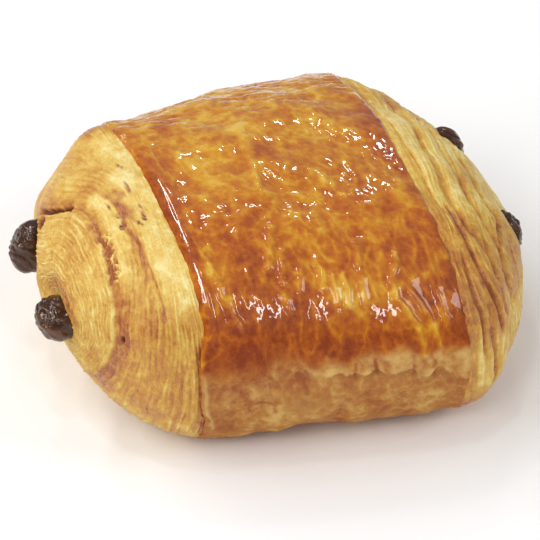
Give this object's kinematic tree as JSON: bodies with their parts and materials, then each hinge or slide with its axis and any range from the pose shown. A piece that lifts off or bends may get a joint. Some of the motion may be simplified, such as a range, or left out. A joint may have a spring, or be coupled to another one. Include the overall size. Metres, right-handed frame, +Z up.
{
  "type": "mini pain au chocolat",
  "caption": "Mini pain au chocolat: a rolled, laminated butter pastry with a glossy egg-glazed crust and dark chocolate batons showing at both ends.",
  "frame": {"origin": "middle of the bounding box at the level of the flat base", "axes": "+X along the roll and its batons, towards the wider end; +Y to the back; +Z up, out of the glazed top"},
  "size_m": [0.071, 0.0612, 0.0317],
  "materials": {
    "baked_dough": "baked laminated dough: glossy mottled golden to red-brown egg glaze over the middle, bare cream to golden layers at the ends",
    "dark_chocolate": "dark chocolate, wrinkled by baking, with a soft gloss"
  },
  "bodies": {
    "root": {"dough": "baked_dough", "chocolate_baton_front": "dark_chocolate", "chocolate_baton_back": "dark_chocolate"}
  },
  "joints": []
}
